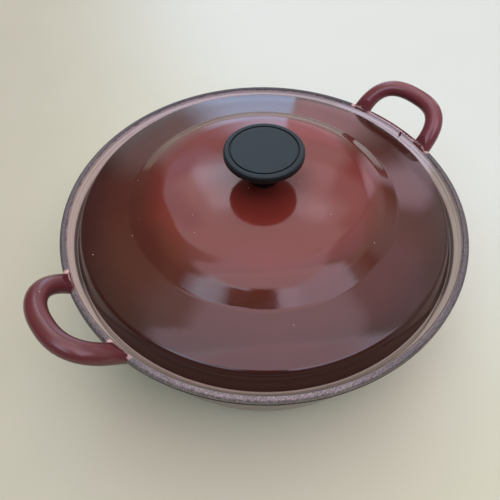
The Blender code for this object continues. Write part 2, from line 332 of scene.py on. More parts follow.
RIM_RADIUS = pot_high.y
POT_HEIGHT = 0.0945
CREST_WIDTH = 0.0037
CREST_RADIUS = RIM_RADIUS - CREST_WIDTH
BAND_DEPTH = 0.0076
BAND_ROUND = 0.003
OVERHANG = 0.0065
TAPER = 0.0173
BASE_ROUND = 0.040
POT_WALL = 0.0042
SEAT_DEPTH = 0.0108
SEAT_WIDTH = 0.0056
SEAT_SLOPE = 0.0050
LEDGE_THICKNESS = 0.0030
LEDGE_BLEND = 0.0045
LEDGE = POT_HEIGHT - SEAT_DEPTH
RECESS_RADIUS = CREST_RADIUS - SEAT_SLOPE
LEDGE_RADIUS = RECESS_RADIUS - SEAT_WIDTH
BAND_FOOT = POT_HEIGHT - BAND_DEPTH
WALL_TOP = RIM_RADIUS - OVERHANG

LID_WALL = 0.0040
LID_RADIUS = lid_high.y
LID_FOOT = lid_low.z
LID_TOP = lid_high.z
print("rim", round(RIM_RADIUS, 4), "lid", round(LID_RADIUS, 4), "lid top", round(LID_TOP, 4))

# %% [markdown]
# ## Enamel
# The enamel is a coloured glass, sprayed on the iron and fired. Its colour sits under a clear
# glossy skin, so the base colour is deep and almost everything bright on it is a reflection.
# Spraying leaves a slight orange peel, a few pits and specks of dust, and years of wiping leave
# patches that are a little less glossy. One function makes this for the lid, the pot and the
# handles, and each gives it its own colour.

# %% Enamel recipe
BLACK = colour(0, 0, 0)
DUST = colour(0.62, 0.55, 0.50)
PIT = colour(0.012, 0.006, 0.005)
CLEAN_GLASS = 0.085
WAVE_HEIGHT = 0.00010
PEEL_HEIGHT = 0.000012
SPECK_HEIGHT = 0.00012


def glaze(finish, base):
    mottled = finish.noise(0.028, detail=4.0, roughness=0.6)
    fine = finish.noise(0.0006, detail=1.0)
    shade = finish.mix((mottled - 0.5) * 0.5 + 0.25, base, finish.mix(0.35, base, BLACK))
    dust = finish.spots(0.026, 0.00078, 0.55, 0.011)
    dust = dust + finish.spots(0.009, 0.00042, 0.35, 0.023) * 0.8
    pits = finish.spots(0.034, 0.0010, 0.4, 0.005)
    shade = finish.mix(pits * 0.35, shade, PIT)
    shade = finish.mix(dust, shade, DUST)
    wiped = finish.noise(0.035, detail=3.0, roughness=0.65)
    streaks = finish.noise(0.004, detail=3.0, roughness=0.7)
    roughness = CLEAN_GLASS + wiped.rise(0.45, 0.75) * 0.075
    roughness = roughness + streaks.rise(0.5, 0.8) * 0.03 + dust * 0.4
    peel = finish.noise(0.0022, detail=1.0)
    waves = finish.noise(0.020, detail=1.0)
    normal = finish.bump(waves, WAVE_HEIGHT)
    normal = finish.bump(peel, PEEL_HEIGHT, under=normal)
    normal = finish.bump(dust - pits * 0.5 + fine * 0.02, SPECK_HEIGHT, under=normal)
    return shade, roughness, normal

# %% [markdown]
# ## Lid
# The lid is a thin casting: a flat middle for the knob, a dome, a steep shoulder that runs into
# a crease, and a flange that drops away to a rounded edge. Its upper face is drawn corner by
# corner, its lower face is the same chain moved inwards by the wall, and a spin makes the shell.
# Because the colour was sprayed from above the middle, it is redder on the dome and browner
# towards the edge. The lower face is cream.

# %% Lid outline
SCREW_HOLE = 0.0033
KNOB_PAD_RADIUS = 0.0105
DOME_CURVE = 0.420
DOME_STATIONS = 14
DOME_END = 0.0520
SHOULDER_RADIUS = 0.0720
SHOULDER_HEIGHT = 0.0317
SHOULDER_ROUND = 0.046
CREASE_RADIUS = 0.0879
CREASE_HEIGHT = 0.0216
CREASE_ROUND = 0.008
FLANGE_RADIUS = 0.107
FLANGE_HEIGHT = 0.0176
FLANGE_ROUND = 0.120
EDGE_HEIGHT = 0.0137
EDGE_LEAN = 0.0051
EDGE_ROUND = 0.0040
EDGE_CHAMFER = 0.0006

lid_top_face = [(SCREW_HOLE, LID_TOP, 0), (KNOB_PAD_RADIUS, LID_TOP, 0)]
for station in range(1, DOME_STATIONS):
    radius = KNOB_PAD_RADIUS + (SHOULDER_RADIUS - KNOB_PAD_RADIUS) * station / DOME_STATIONS
    if radius > DOME_END:
        break
    drop = (radius ** 2 - KNOB_PAD_RADIUS ** 2) / (2 * DOME_CURVE)
    lid_top_face.append((radius, LID_TOP - drop, 0))
lid_top_face += [
    (SHOULDER_RADIUS, LEDGE + SHOULDER_HEIGHT, SHOULDER_ROUND),
    (CREASE_RADIUS, LEDGE + CREASE_HEIGHT, CREASE_ROUND),
    (FLANGE_RADIUS, LEDGE + FLANGE_HEIGHT, FLANGE_ROUND),
    (LID_RADIUS - EDGE_LEAN, LEDGE + EDGE_HEIGHT, EDGE_ROUND),
    (LID_RADIUS, LID_FOOT + EDGE_CHAMFER, 0),
]
lid_under_face = offset(lid_top_face, -LID_WALL)[:-1] + [(LID_RADIUS - LID_WALL, LID_FOOT, 0)]
lid_foot = [(LID_RADIUS - EDGE_CHAMFER, LID_FOOT, 0)]
lid_form = spin(outline(lid_top_face + lid_foot + lid_under_face[::-1], True), LARGE_STEPS)
print("lid section has", len(lid_top_face + lid_foot + lid_under_face), "corners")

# %% Lid finish
KNOB_SHADED_RED = colour(0.150, 0.025, 0.017)
DOME_RED = colour(0.175, 0.030, 0.022)
SHOULDER_MAROON = colour(0.112, 0.028, 0.016)
FLANGE_MAROON = colour(0.076, 0.021, 0.013)
EDGE_BROWN = colour(0.042, 0.014, 0.010)

lid_finish = Finish("lid_enamel")
sprayed = lid_finish.radius + (lid_finish.noise(0.03, detail=2.0) - 0.5) * 0.012
# Painted shade: round the knob's foot the middle is a darker red than the dome
dome_colour = lid_finish.mix(sprayed.rise(0.026, 0.042), KNOB_SHADED_RED, DOME_RED)
dome_colour = lid_finish.mix(sprayed.rise(0.058, 0.080), dome_colour, SHOULDER_MAROON)
flange_colour = lid_finish.mix(sprayed.rise(0.095, 0.122), FLANGE_MAROON, EDGE_BROWN)
lid_colour = lid_finish.mix(sprayed.rise(0.074, 0.094), dome_colour, flange_colour)
lid_shade, lid_roughness, lid_normal = glaze(lid_finish, lid_colour)
lid_material = lid_finish.apply(lid_shade, lid_roughness, lid_normal)

# %% [markdown]
# The cream enamel of the lid's lower face, and of the pot's inside, is the same glass without
# the iron reds in it. It stains a little with use.

# %% Cream finish
CREAM = colour(0.587, 0.526, 0.426)
CREAM_STAIN = colour(0.42, 0.30, 0.22)
CREAM_SPECK = colour(0.10, 0.06, 0.04)


def cream_glaze(finish):
    stain = finish.noise(0.03, detail=5.0, roughness=0.6).rise(0.45, 0.8)
    shade = finish.mix(stain * 0.30, CREAM, CREAM_STAIN)
    specks = finish.spots(0.009, 0.0003, 0.4, 0.013)
    shade = finish.mix(specks * 0.6, shade, CREAM_SPECK)
    return shade, 0.16 + stain * 0.08


cream_finish = Finish("cream_enamel")
cream_shade, cream_roughness = cream_glaze(cream_finish)
cream_bump = cream_finish.bump(cream_finish.noise(0.004, detail=1.0), 0.00003)
cream_material = cream_finish.apply(cream_shade, cream_roughness, cream_bump)

# %% Lid piece
lid_piece = piece("lid_casting", lid_form, lid_material, "lid", "lid")
lid_piece.data.materials.append(cream_material)
under = [Vector((radius, height)) for radius, height, fillet in lid_under_face]


def height_on(chain, radius):
    for first, second in zip(chain, chain[1:]):
        if min(first.x, second.x) <= radius <= max(first.x, second.x) and first.x != second.x:
            return first.y + (second.y - first.y) * (radius - first.x) / (second.x - first.x)
    return chain[0].y


cream_faces = 0
for face in lid_piece.data.polygons:
    distance = hypot(face.center.x, face.center.y)
    below = face.center.z < height_on(under, distance) + LID_WALL / 2
    if distance < LID_RADIUS - EDGE_CHAMFER and below and face.normal.z < 0.2:
        face.material_index = 1
        cream_faces += 1
print("cream faces under the lid", cream_faces)

# %% [markdown]
# ## Pot
# The pot's section is one open chain that starts and ends on the axis: flat base, big round,
# tapered wall, the thickened band of the rim, the crest, the recess that the lid sits in, the
# ledge that carries the lid, and the inside back to the middle. Two fine steps in the recess are
# left by turning the iron before it was enamelled.

# %% Pot outline
STEP_DEPTH = 0.00028
STEP_STARTS = (0.20, 0.42)
STEP_BOTTOM = 0.03
STEP_END = 0.07
BAND_FOOT_ROUND = 0.0015
CREST_ROUND = 0.0005
RECESS_ROUND = 0.0008
LEDGE_EDGE_ROUND = 0.0006
LEDGE_FOOT_ROUND = 0.003
WALL_ROUND = 0.006
CREST_ROOM = 0.98


def pot_inside():
    wall_line = offset([(0, 0, 0), (WALL_TOP - TAPER, 0, BASE_ROUND), (WALL_TOP, BAND_FOOT, 0)],
                       POT_WALL)
    foot, top = wall_line[1], wall_line[2]
    ledge_foot = LEDGE - LEDGE_THICKNESS
    blend_height = ledge_foot - LEDGE_BLEND
    share = (blend_height - foot[1]) / (top[1] - foot[1])
    blend_radius = foot[0] + (top[0] - foot[0]) * share
    return [
        (LEDGE_RADIUS, LEDGE, LEDGE_EDGE_ROUND),
        (LEDGE_RADIUS, ledge_foot, LEDGE_FOOT_ROUND),
        (blend_radius, blend_height, WALL_ROUND),
        foot,
        (0, POT_WALL, 0),
    ]


def recess_point(share, depth=0):
    # share runs from 0 at the crest to 1 at the ledge; depth is sideways into the iron
    return (CREST_RADIUS - SEAT_SLOPE * share + depth, POT_HEIGHT - SEAT_DEPTH * share, 0)


turned_steps = []
for start in STEP_STARTS:
    turned_steps.append(recess_point(start))
    turned_steps.append(recess_point(start + STEP_BOTTOM, STEP_DEPTH))
    turned_steps.append(recess_point(start + STEP_END))

pot_corners = [
    (0, 0, 0),
    (WALL_TOP - TAPER, 0, BASE_ROUND),
    (WALL_TOP, BAND_FOOT, BAND_FOOT_ROUND),
    (RIM_RADIUS, BAND_FOOT, BAND_ROUND),
    (RIM_RADIUS, POT_HEIGHT, CREST_WIDTH * CREST_ROOM),
    (CREST_RADIUS, POT_HEIGHT, CREST_ROUND),
    *turned_steps,
    (RECESS_RADIUS, LEDGE, RECESS_ROUND),
    *pot_inside(),
]
pot_form = spin(outline(pot_corners, False), LARGE_STEPS)
print("pot section has", len(pot_corners), "corners")

# %% [markdown]
# The outside of the wall is maroon. Above it one finish covers the rim and the inside, because
# there the enamels meet on the surface itself. The distance from the axis and the height tell
# its zones apart: cream inside, and outside it the band of the rim, where the glass is worn down
# to satin grey iron with a fine grain, a painted highlight and painted shade along its edges and
# a few nicks. By the handles the maroon runs over the band, with small bare spots at its ragged
# edge.

# %% Pot finishes
WALL_MAROON = colour(0.100, 0.026, 0.022)

wall_finish = Finish("wall_enamel")
wall_shade, wall_roughness, wall_normal = glaze(wall_finish, WALL_MAROON)
wall_material = wall_finish.apply(wall_shade, wall_roughness, wall_normal)

# %% [markdown]
# The rim's finish is built up in small steps. The first is the worn iron: a fine grain drawn out
# into short slanting scratches, with bright and dark specks and a few stains.

# %% Worn iron of the band
RIM_MAROON = colour(0.115, 0.030, 0.028)
IRON_DARK = colour(0.093, 0.082, 0.080)
IRON_LIGHT = colour(0.280, 0.258, 0.246)
IRON_GLINT = colour(0.50, 0.46, 0.46)
IRON_PIT = colour(0.05, 0.04, 0.045)
IRON_STAIN = colour(0.085, 0.070, 0.075)
IRON_SHADE = colour(0.012, 0.014, 0.018)
SCRATCH_WIDTH = 1 / 1900
SCRATCH_LENGTH = 1 / 700
SCRATCH_SLANT = 0.8

rim_finish = Finish("rim_enamel")
away = rim_finish.radius
height = rim_finish.z
ragged = (rim_finish.noise(0.0022, detail=3.0) - 0.5) * 0.0016
blotches = rim_finish.noise(0.006, detail=3.0, roughness=0.6)
maroon_shade, maroon_roughness, maroon_normal = glaze(rim_finish, RIM_MAROON)
cream_part, cream_gloss = cream_glaze(rim_finish)

turn = rim_finish.node("ShaderNodeMath", {"operation": "ARCTAN2"},
                       {0: rim_finish.y, 1: rim_finish.x})
slanted = (turn * RIM_RADIUS + away * SCRATCH_SLANT) / SCRATCH_WIDTH
grain_place = rim_finish.vector(slanted, away / SCRATCH_LENGTH, height / SCRATCH_LENGTH)
grain = rim_finish.noise(1.0, detail=2.0, roughness=0.7, place=grain_place)
speckle = rim_finish.noise(0.0009, detail=2.0, roughness=0.7)
iron = rim_finish.mix(grain.rise(0.35, 0.65), IRON_DARK, IRON_LIGHT)
iron = rim_finish.mix(speckle.rise(0.56, 0.68) * 0.45, iron, IRON_GLINT)
iron = rim_finish.mix((1 - speckle.rise(0.36, 0.46)) * 0.65, iron, IRON_PIT)
iron = rim_finish.mix(blotches.rise(0.48, 0.66) * 0.25, iron, IRON_STAIN)
print("scratches", round(1000 * SCRATCH_WIDTH, 2), "by", round(1000 * SCRATCH_LENGTH, 2), "mm")

# %% [markdown]
# The next step says where things are on the rim. The side of the rim that faces the camera keeps
# the iron brightest, and painted shade makes it darker towards the other side. The places where
# the handles grow out of the band come from the distance to the middle of a leg.

# %% Places on the rim
LEG_PLACE = (0.1325, 0.0300)
CAMERA_SIDE = (-0.661, -0.750)
CHIP_PLACE = (0.1310, -0.0100)

leg_x = rim_finish.x.absolute() - LEG_PLACE[0]
leg_y = rim_finish.y.absolute() - LEG_PLACE[1]
from_leg = (leg_x * leg_x + leg_y * leg_y) ** 0.5 + ragged * 1.4
run_over = 1 - from_leg.rise(0.0076, 0.0084)
bare_ring = from_leg.band(0.0070, 0.0096, 0.0006) * blotches.rise(0.42, 0.56)
bare_ring = bare_ring * height.rise(BAND_FOOT + 0.0030, BAND_FOOT + 0.0050)

# Between the legs of the handle on +X the band is pale, with a line of maroon along its outer
# edge and one small chip that shows maroon
between = (1 - rim_finish.y.absolute().rise(0.028, 0.031)) * rim_finish.x.rise(0.05, 0.10)
film_edge = away + ragged * 1.6 + (blotches - 0.5) * 0.0020
film = between * film_edge.rise(RIM_RADIUS - 0.0034, RIM_RADIUS - 0.0028)
chip_x = rim_finish.x - CHIP_PLACE[0]
chip_y = rim_finish.y - CHIP_PLACE[1]
chip = 1 - ((chip_x * chip_x + chip_y * chip_y) ** 0.5 + ragged * 0.8).rise(0.0007, 0.0012)

# How far a place lies towards the side that faces the camera, in metres from the axis
towards_camera_side = rim_finish.x * CAMERA_SIDE[0] + rim_finish.y * CAMERA_SIDE[1]
front = towards_camera_side.rise(0.03, 0.13)
back = 1 - towards_camera_side.rise(-0.12, -0.03)
at_camera_side = towards_camera_side.rise(0.09, 0.125)
camera_side_iron = towards_camera_side.rise(0.108, 0.132)
# Painted shade: the iron is darkened everywhere except on the camera side, and most on the far
# side
iron = rim_finish.mix(0.45 - camera_side_iron * 0.45 + back * 0.35, iron, IRON_SHADE)
camera_side_angle = degrees(atan2(CAMERA_SIDE[1], CAMERA_SIDE[0]))
print("the lip points", round(camera_side_angle), "degrees from +X")

# %% [markdown]
# On the band the iron gets its edges: a painted highlight where the cream ends, a painted shadow
# beside it, painted shade along the band's lower edge, and the maroon that runs over it by the
# handles.

# %% Band
EDGE_HIGHLIGHT = colour(0.62, 0.55, 0.54)
LOW_EDGE_SHADE = colour(0.016, 0.012, 0.013)
NICK = colour(0.030, 0.022, 0.024)
PALE_BAND = colour(0.62, 0.52, 0.55)
BARE_SPOT = colour(0.52, 0.36, 0.33)
CREAM_END = CREST_RADIUS - 0.0008

crest_line = away + ragged * 0.35 - front * 0.0011
inside = 1 - crest_line.rise(CREAM_END, CREAM_END + 0.0003)
# Painted highlight: a pale line just outside where the cream ends, away from the camera side
edge_highlight = crest_line.band(CREAM_END + 0.0001, CREAM_END + 0.0005, 0.0002)
dark_line = crest_line.band(CREAM_END - 0.0006, CREAM_END + 0.0002, 0.0002)
# Painted shade along the band's lower edge, wider on the camera side
low_edge_shade = height + ragged * 0.4 + front * 0.0007
low_edge_shade = 1 - low_edge_shade.rise(BAND_FOOT + 0.0049, BAND_FOOT + 0.0055)
nicks = rim_finish.spots(0.024, 0.0011, 0.5, 0.009)
edge_highlight = edge_highlight * (1 - front) * (0.35 + blotches.rise(0.36, 0.50) * 0.5)

rim = rim_finish.mix(edge_highlight, iron, EDGE_HIGHLIGHT)
rim = rim_finish.mix(low_edge_shade * 0.85, rim, LOW_EDGE_SHADE)
rim = rim_finish.mix(nicks * 0.7, rim, NICK)
rim = rim_finish.mix(between * 0.9, rim, PALE_BAND)
rim = rim_finish.mix(run_over.math("MAXIMUM", film), rim, maroon_shade)
rim = rim_finish.mix(bare_ring, rim, BARE_SPOT)
print("cream ends at a radius of", round(1000 * CREAM_END, 1), "mm")

# %% [markdown]
# Inside the crest the cream gets painted daylight: it is paler at the far side and by the handle
# on +X, and a painted highlight lies near the crest on the side that faces the camera. Painted
# shade darkens it in three places: in the two turned steps on that side, on the lower part of the
# slope, which reaches higher nearer that side and ends in a dark line, and in the gap at the lid's
# foot on the other side.

# %% Cream slope, its painted daylight and painted shade
DAYLIT_BACK_CREAM = colour(0.70, 0.66, 0.67)
DAYLIT_RIGHT_CREAM = colour(0.88, 0.83, 0.84)
CREST_HIGHLIGHT_CREAM = colour(0.78, 0.66, 0.58)
SLOPE_SHADE = colour(0.10, 0.075, 0.055)
SHADED_CREAM = colour(0.20, 0.17, 0.12)
FOOT_SHADE = colour(0.040, 0.030, 0.022)
SHADE_LIMIT = 0.1255
SHADE_LEAN = 17.8

slope_line = (CREST_RADIUS - away) / SEAT_SLOPE
steps = slope_line.band(0.18, 0.30, 0.015) + slope_line.band(0.42, 0.58, 0.015)
# Painted shade in the two turned steps on the camera side
step_shade = steps * at_camera_side * 0.75 * height.rise(LEDGE + 0.002, LEDGE + 0.004)
# Painted daylight by the handle on +X, and a painted highlight near the crest on the camera side
near_right = (1 - rim_finish.y.absolute().rise(0.040, 0.055)) * rim_finish.x.rise(0.05, 0.10)
crest_highlight = at_camera_side * (1 - slope_line.rise(0.15, 0.20))
# Painted shade on the lower part of the slope, ending in a dark line, reaching higher towards the
# camera side
shade_line = slope_line + (towards_camera_side - SHADE_LIMIT) * SHADE_LEAN
dulling_and_shade = (height + ragged).rise(LEDGE - 0.001, LEDGE) * towards_camera_side.rise(0.06, 0.08)
# Painted shade in the gap at the lid's foot, away from the camera side
foot_shade = slope_line.rise(0.70, 0.80) * height.rise(LEDGE - 0.002, LEDGE - 0.001)
foot_shade = foot_shade * (1 - towards_camera_side.rise(0.055, 0.085))
for mask, paint in (
    (back * 0.75, DAYLIT_BACK_CREAM),
    (near_right * 0.9, DAYLIT_RIGHT_CREAM),
    (crest_highlight * 0.6, CREST_HIGHLIGHT_CREAM),
    (step_shade, SLOPE_SHADE),
    (shade_line.rise(0.0, 0.06) * dulling_and_shade * 0.40, SHADED_CREAM),
    (shade_line.band(-0.08, 0.06, 0.03) * dulling_and_shade * 0.65, SLOPE_SHADE),
    (foot_shade * 0.80, FOOT_SHADE),
):
    cream_part = rim_finish.mix(mask, cream_part, paint)
print("the cream slope drops", round(1000 * SEAT_DEPTH, 1), "mm from crest to ledge")

# %% Rim material
CREST_SHADOW = colour(0.045, 0.032, 0.028)
CHIP = colour(0.095, 0.014, 0.018)
IRON_ROUGHNESS = 0.34
IRON_METAL = 0.35

rim_colour = rim_finish.mix(inside, rim, cream_part)
shadow_line = dark_line * (0.20 + front * 0.7) * (1 - between)
rim_colour = rim_finish.mix(shadow_line, rim_colour, CREST_SHADOW)
rim_colour = rim_finish.mix(chip, rim_colour, CHIP)

bare = (1 - inside) * (1 - run_over)
gloss = maroon_roughness * (1 - inside) + cream_gloss * inside
bare_roughness = IRON_ROUGHNESS + grain * 0.22 + low_edge_shade * 0.4
rim_roughness = gloss * (1 - bare) + bare_roughness * bare
rim_bump = rim_finish.bump((grain + speckle * 0.8) * bare, 0.00010, under=maroon_normal)
rim_metal = bare * (1 - low_edge_shade) * IRON_METAL
rim_material = rim_finish.apply(rim_colour, rim_roughness, rim_bump, metallic=rim_metal)

# %% Pot piece
pot_piece = piece("pot_casting", pot_form, rim_material, "pot", "pot")
pot_piece.data.materials.append(wall_material)
wall_faces = 0
for face in pot_piece.data.polygons:
    outward = face.normal.x * face.center.x + face.normal.y * face.center.y > 0
    if face.center.z < 1e-4 or (outward and face.center.z < BAND_FOOT + 1e-4):
        face.material_index = 1
        wall_faces += 1
print("maroon faces on the outside of the wall", wall_faces)

# %% [markdown]
# ## Loop handles
# Each handle is a round bar that leaves the rim, rises and bends back, cast in one piece with
# the pot. Its route has two straight legs and a loop between them, which is squarer than a
# circle, and the height follows from how far out each point lies.

# %% Handle route
HANDLE_REACH = 0.0200
HALF_SPAN = 0.0300
TIP_DEPTH = 0.0240
SQUARENESS = 2.3
TIP_RISE = 0.0154
ROOT_DROP = 0.0090
RISE_POWER = 1.5
ROOT_INSET = 0.0105
BAR_WIDTH = 0.0126
BAR_THICKNESS = 0.0112
BAR_SIDES = 40
LOOP_STATIONS = 72
LEG_STATIONS = 14
ROOT_SWELL = 0.22
SWELL_LENGTH = 0.009
LEG_START = 0.1160
END_LIFT = 0.0003
END_ROUND = 0.0005

TIP = RIM_RADIUS + HANDLE_REACH
ROOT = RIM_RADIUS - ROOT_INSET


def bar_height(radius):
    from_tip = (TIP - radius) / (TIP - ROOT)
    return POT_HEIGHT + TIP_RISE - (TIP_RISE + ROOT_DROP) * from_tip ** RISE_POWER


def handle_route():
    leg_end = TIP - TIP_DEPTH
    leg = []
    for station in range(LEG_STATIONS):
        radius = LEG_START + (leg_end - LEG_START) * station / LEG_STATIONS
        leg.append(Vector((radius, -HALF_SPAN, bar_height(radius))))
    route = list(leg)
    for station in range(LOOP_STATIONS + 1):
        angle = -pi / 2 + pi * station / LOOP_STATIONS
        across = HALF_SPAN * abs(sin(angle)) ** (2 / SQUARENESS) * (1 if angle > 0 else -1)
        radius = leg_end + TIP_DEPTH * max(cos(angle), 0) ** (2 / SQUARENESS)
        route.append(Vector((radius, across, bar_height(radius))))
    return route + [Vector((place.x, -place.y, place.z)) for place in reversed(leg)]

# %% [markdown]
# A ring of points is set at each station of the route and the rings are bridged. The bar swells
# a little towards its ends. There two planes trim it: one parallel to the slope that the lid
# sits in and a hair outside it, so that the end stops at the crest, and an upright one inside
# the wall.

# %% Handle form
def trim(form, leg, point, normal):
    # Only the leg's own end is cut, because the plane would also cross the other leg
    end = [vert for vert in form.verts if vert.co.x < RIM_RADIUS and vert.co.y * leg > 0]
    members = set(end)
    end += [edge for edge in form.edges if members.issuperset(edge.verts)]
    end += [face for face in form.faces if members.issuperset(face.verts)]
    bmesh.ops.bisect_plane(form, geom=end, plane_co=point, plane_no=normal, clear_inner=True)
    rim_edges = [edge for edge in form.edges if edge.is_boundary]
    bmesh.ops.contextual_create(form, geom=rim_edges)
    return rim_edges


def handle_form(side):
    form = bmesh.new()
    route = handle_route()
    rings = []
    for index, place in enumerate(route):
        ahead = route[min(index + 1, len(route) - 1)]
        behind = route[max(index - 1, 0)]
        along = (ahead - behind).normalized()
        flat = Vector((along.y, -along.x, 0)).normalized()
        up = flat.cross(along)
        if up.z < 0:
            flat, up = -flat, -up
        wide = BAR_WIDTH / 2 * (1 + ROOT_SWELL * exp((ROOT - place.x) / SWELL_LENGTH))
        ring = bmesh.ops.create_circle(form, segments=BAR_SIDES, radius=1)["verts"]
        for vert in ring:
            vert.co = place + flat * wide * vert.co.x + up * (BAR_THICKNESS / 2) * vert.co.y
        rings.append(ring)
    for first, second in zip(rings, rings[1:]):
        loops = []
        for ring in (first, second):
            members = set(ring)
            edges = {edge for vert in ring for edge in vert.link_edges}
            loops += [edge for edge in edges if members.issuperset(edge.verts)]
        bmesh.ops.bridge_loops(form, edges=loops)
    lean = atan2(HALF_SPAN, CREST_RADIUS)
    for leg in (-1, 1):
        outward = Vector((cos(lean), leg * sin(lean), 0))
        slope = (outward * SEAT_DEPTH + Vector((0, 0, -SEAT_SLOPE))).normalized()
        crest = outward * (CREST_RADIUS + END_LIFT) + Vector((0, 0, POT_HEIGHT))
        end = trim(form, leg, crest, slope)
        bmesh.ops.bevel(form, geom=end, offset=END_ROUND, offset_type="OFFSET", segments=2,
                        profile=0.5, affect="EDGES", clamp_overlap=True, material=-1)
        trim(form, leg, outward * ROOT, outward)
    half_turn = Matrix.Rotation(0 if side > 0 else pi, 3, "Z")
    bmesh.ops.rotate(form, verts=form.verts, cent=(0, 0, 0), matrix=half_turn)
    bmesh.ops.recalc_face_normals(form, faces=form.faces)
    return form

# %% Handle finish
SHADED_LEFT_MAROON = colour(0.122, 0.030, 0.032)
LIT_RIGHT_MAROON = colour(0.176, 0.042, 0.050)
UNDERSIDE_SHADE = colour(0.040, 0.011, 0.013)
HANDLE_BARE = colour(0.52, 0.37, 0.34)
HANDLE_DULLING = 0.14

handle_finish = Finish("handle_enamel")
# Lit and shaded copies of one maroon: the handle on +X is painted lighter, the one on -X darker
handle_base = handle_finish.mix(handle_finish.x.rise(-0.05, 0.05), SHADED_LEFT_MAROON, LIT_RIGHT_MAROON)
# Painted shade: below the middle of the bar the maroon turns dark brown
from_tip = ((TIP - handle_finish.x.absolute()) / (TIP - ROOT)).math("MAXIMUM", 0.0)
bar_middle = POT_HEIGHT + TIP_RISE - (from_tip ** RISE_POWER) * (TIP_RISE + ROOT_DROP)
underside_shade = (bar_middle - handle_finish.z).rise(0.0005, 0.0045)
handle_base = handle_finish.mix(underside_shade * 0.7, handle_base, UNDERSIDE_SHADE)
handle_shade, handle_roughness, handle_normal = glaze(handle_finish, handle_base)
handle_ragged = (handle_finish.noise(0.0020, detail=3.0) - 0.5) * 0.0020
end_line = handle_finish.radius + handle_ragged
patches = handle_finish.noise(0.0030, detail=2.0).rise(0.47, 0.56)
worn = (1 - end_line.rise(CREST_RADIUS + 0.0008, CREST_RADIUS + 0.0013)) * patches
worn = worn * handle_finish.z.rise(BAND_FOOT + 0.0030, BAND_FOOT + 0.0050)
handle_colour = handle_finish.mix(worn, handle_shade, HANDLE_BARE)
handle_dull = handle_roughness + HANDLE_DULLING
handle_material = handle_finish.apply(handle_colour, handle_dull, handle_normal)

# %% Handle pieces
for handle_name, side in (("handle_right", 1), ("handle_left", -1)):
    piece(handle_name, handle_form(side), handle_material, "pot", "pot", sharp=60)

# %% [markdown]
# ## Knob
# The knob is one moulding in black phenolic resin: a foot, a neck that widens upwards and a disc
# with a ring groove in its top and a rounded edge. Phenolic is hard and slightly satin, and its
# top gets a patchy, bluish-grey painted sheen. Its middle is bare.

# %% Knob outline
KNOB_STEPS = 128
KNOB_FOOT = knob_low.z
KNOB_TOP = knob_high.z
DISC_RADIUS = knob_high.y
DISC_THICKNESS = 0.0050
DISC_ROUND = 0.0023
FOOT_RADIUS = 0.0092
NECK_RADIUS = 0.0118
NECK_HEIGHT = 0.0130
GROOVE_RADIUS = 0.0209
GROOVE_WIDTH = 0.0011
GROOVE_DEPTH = 0.0009
GROOVE_LEAN = 0.0002
GROOVE_ROUND = 0.0002
GROOVE_EDGE_ROUND = 0.0003
DISH_SHARE = 0.75
DISH_DEPTH = 0.0003
DISH_EDGE_DEPTH = 0.0002
DISH_ROUND = 0.08
NECK_ROUND = 0.0040
FOOT_ROUND = 0.0008
SOCKET_RADIUS = 0.0051
SOCKET_DEPTH = 0.0138

groove_in = GROOVE_RADIUS - GROOVE_WIDTH / 2
groove_out = GROOVE_RADIUS + GROOVE_WIDTH / 2
knob_corners = [
    (0, KNOB_TOP - DISH_DEPTH, 0),
    (groove_in * DISH_SHARE, KNOB_TOP - DISH_EDGE_DEPTH, DISH_ROUND),
    (groove_in, KNOB_TOP, GROOVE_EDGE_ROUND),
    (groove_in + GROOVE_LEAN, KNOB_TOP - GROOVE_DEPTH, GROOVE_ROUND),
    (groove_out - GROOVE_LEAN, KNOB_TOP - GROOVE_DEPTH, GROOVE_ROUND),
    (groove_out, KNOB_TOP, GROOVE_EDGE_ROUND),
    (DISC_RADIUS, KNOB_TOP, DISC_ROUND),
    (DISC_RADIUS, KNOB_TOP - DISC_THICKNESS, DISC_ROUND),
    (NECK_RADIUS, KNOB_FOOT + NECK_HEIGHT, NECK_ROUND),
    (FOOT_RADIUS, KNOB_FOOT, FOOT_ROUND),
    (SOCKET_RADIUS, KNOB_FOOT, 0),
    (SOCKET_RADIUS, KNOB_FOOT + SOCKET_DEPTH, 0),
    (0, KNOB_FOOT + SOCKET_DEPTH, 0),
]
knob_form = spin(outline(knob_corners, False), KNOB_STEPS)
print("knob", round(2000 * DISC_RADIUS, 1), "mm across, groove at", round(2000 * GROOVE_RADIUS, 1))

# %% Knob finish
PHENOLIC_BLACK = colour(0.006, 0.007, 0.009)
TOP_SHEEN_GREY = colour(0.005, 0.021, 0.026)
KNOB_DUST = colour(0.30, 0.30, 0.29)
KNOB_ROUGHNESS = 0.34
KNOB_IOR = 1.35

knob_finish = Finish("black_phenolic")
handling_and_sheen = knob_finish.noise(0.012, detail=5.0, roughness=0.6)
pores = knob_finish.noise(0.0005, detail=2.0, roughness=0.6)
# Painted sheen: the top face turns a patchy bluish grey
top_face = knob_finish.z.rise(KNOB_TOP - 0.0012, KNOB_TOP - 0.0003)
top_sheen = top_face * (0.55 + handling_and_sheen * 0.45)
knob_shade = knob_finish.mix(top_sheen, PHENOLIC_BLACK, TOP_SHEEN_GREY)
knob_dust = knob_finish.spots(0.008, 0.00022, 0.35, 0.004)
knob_shade = knob_finish.mix(knob_dust * 0.7, knob_shade, KNOB_DUST)
knob_roughness = KNOB_ROUGHNESS + handling_and_sheen * 0.10 + pores * 0.05
knob_bump = knob_finish.bump(pores, 0.00004)
knob_material = knob_finish.apply(knob_shade, knob_roughness, knob_bump, ior=KNOB_IOR)
piece("knob_moulding", knob_form, knob_material, "lid", "knob")

# %% [markdown]
# ## Fastening
# The brass insert, the steel washer and the screw are the fixed model's own solids. They hide
# under the lid until it is lifted, and each gets a worked metal finish: turned brass, and plated
# steel with fine rings from the lathe and a little dulling.

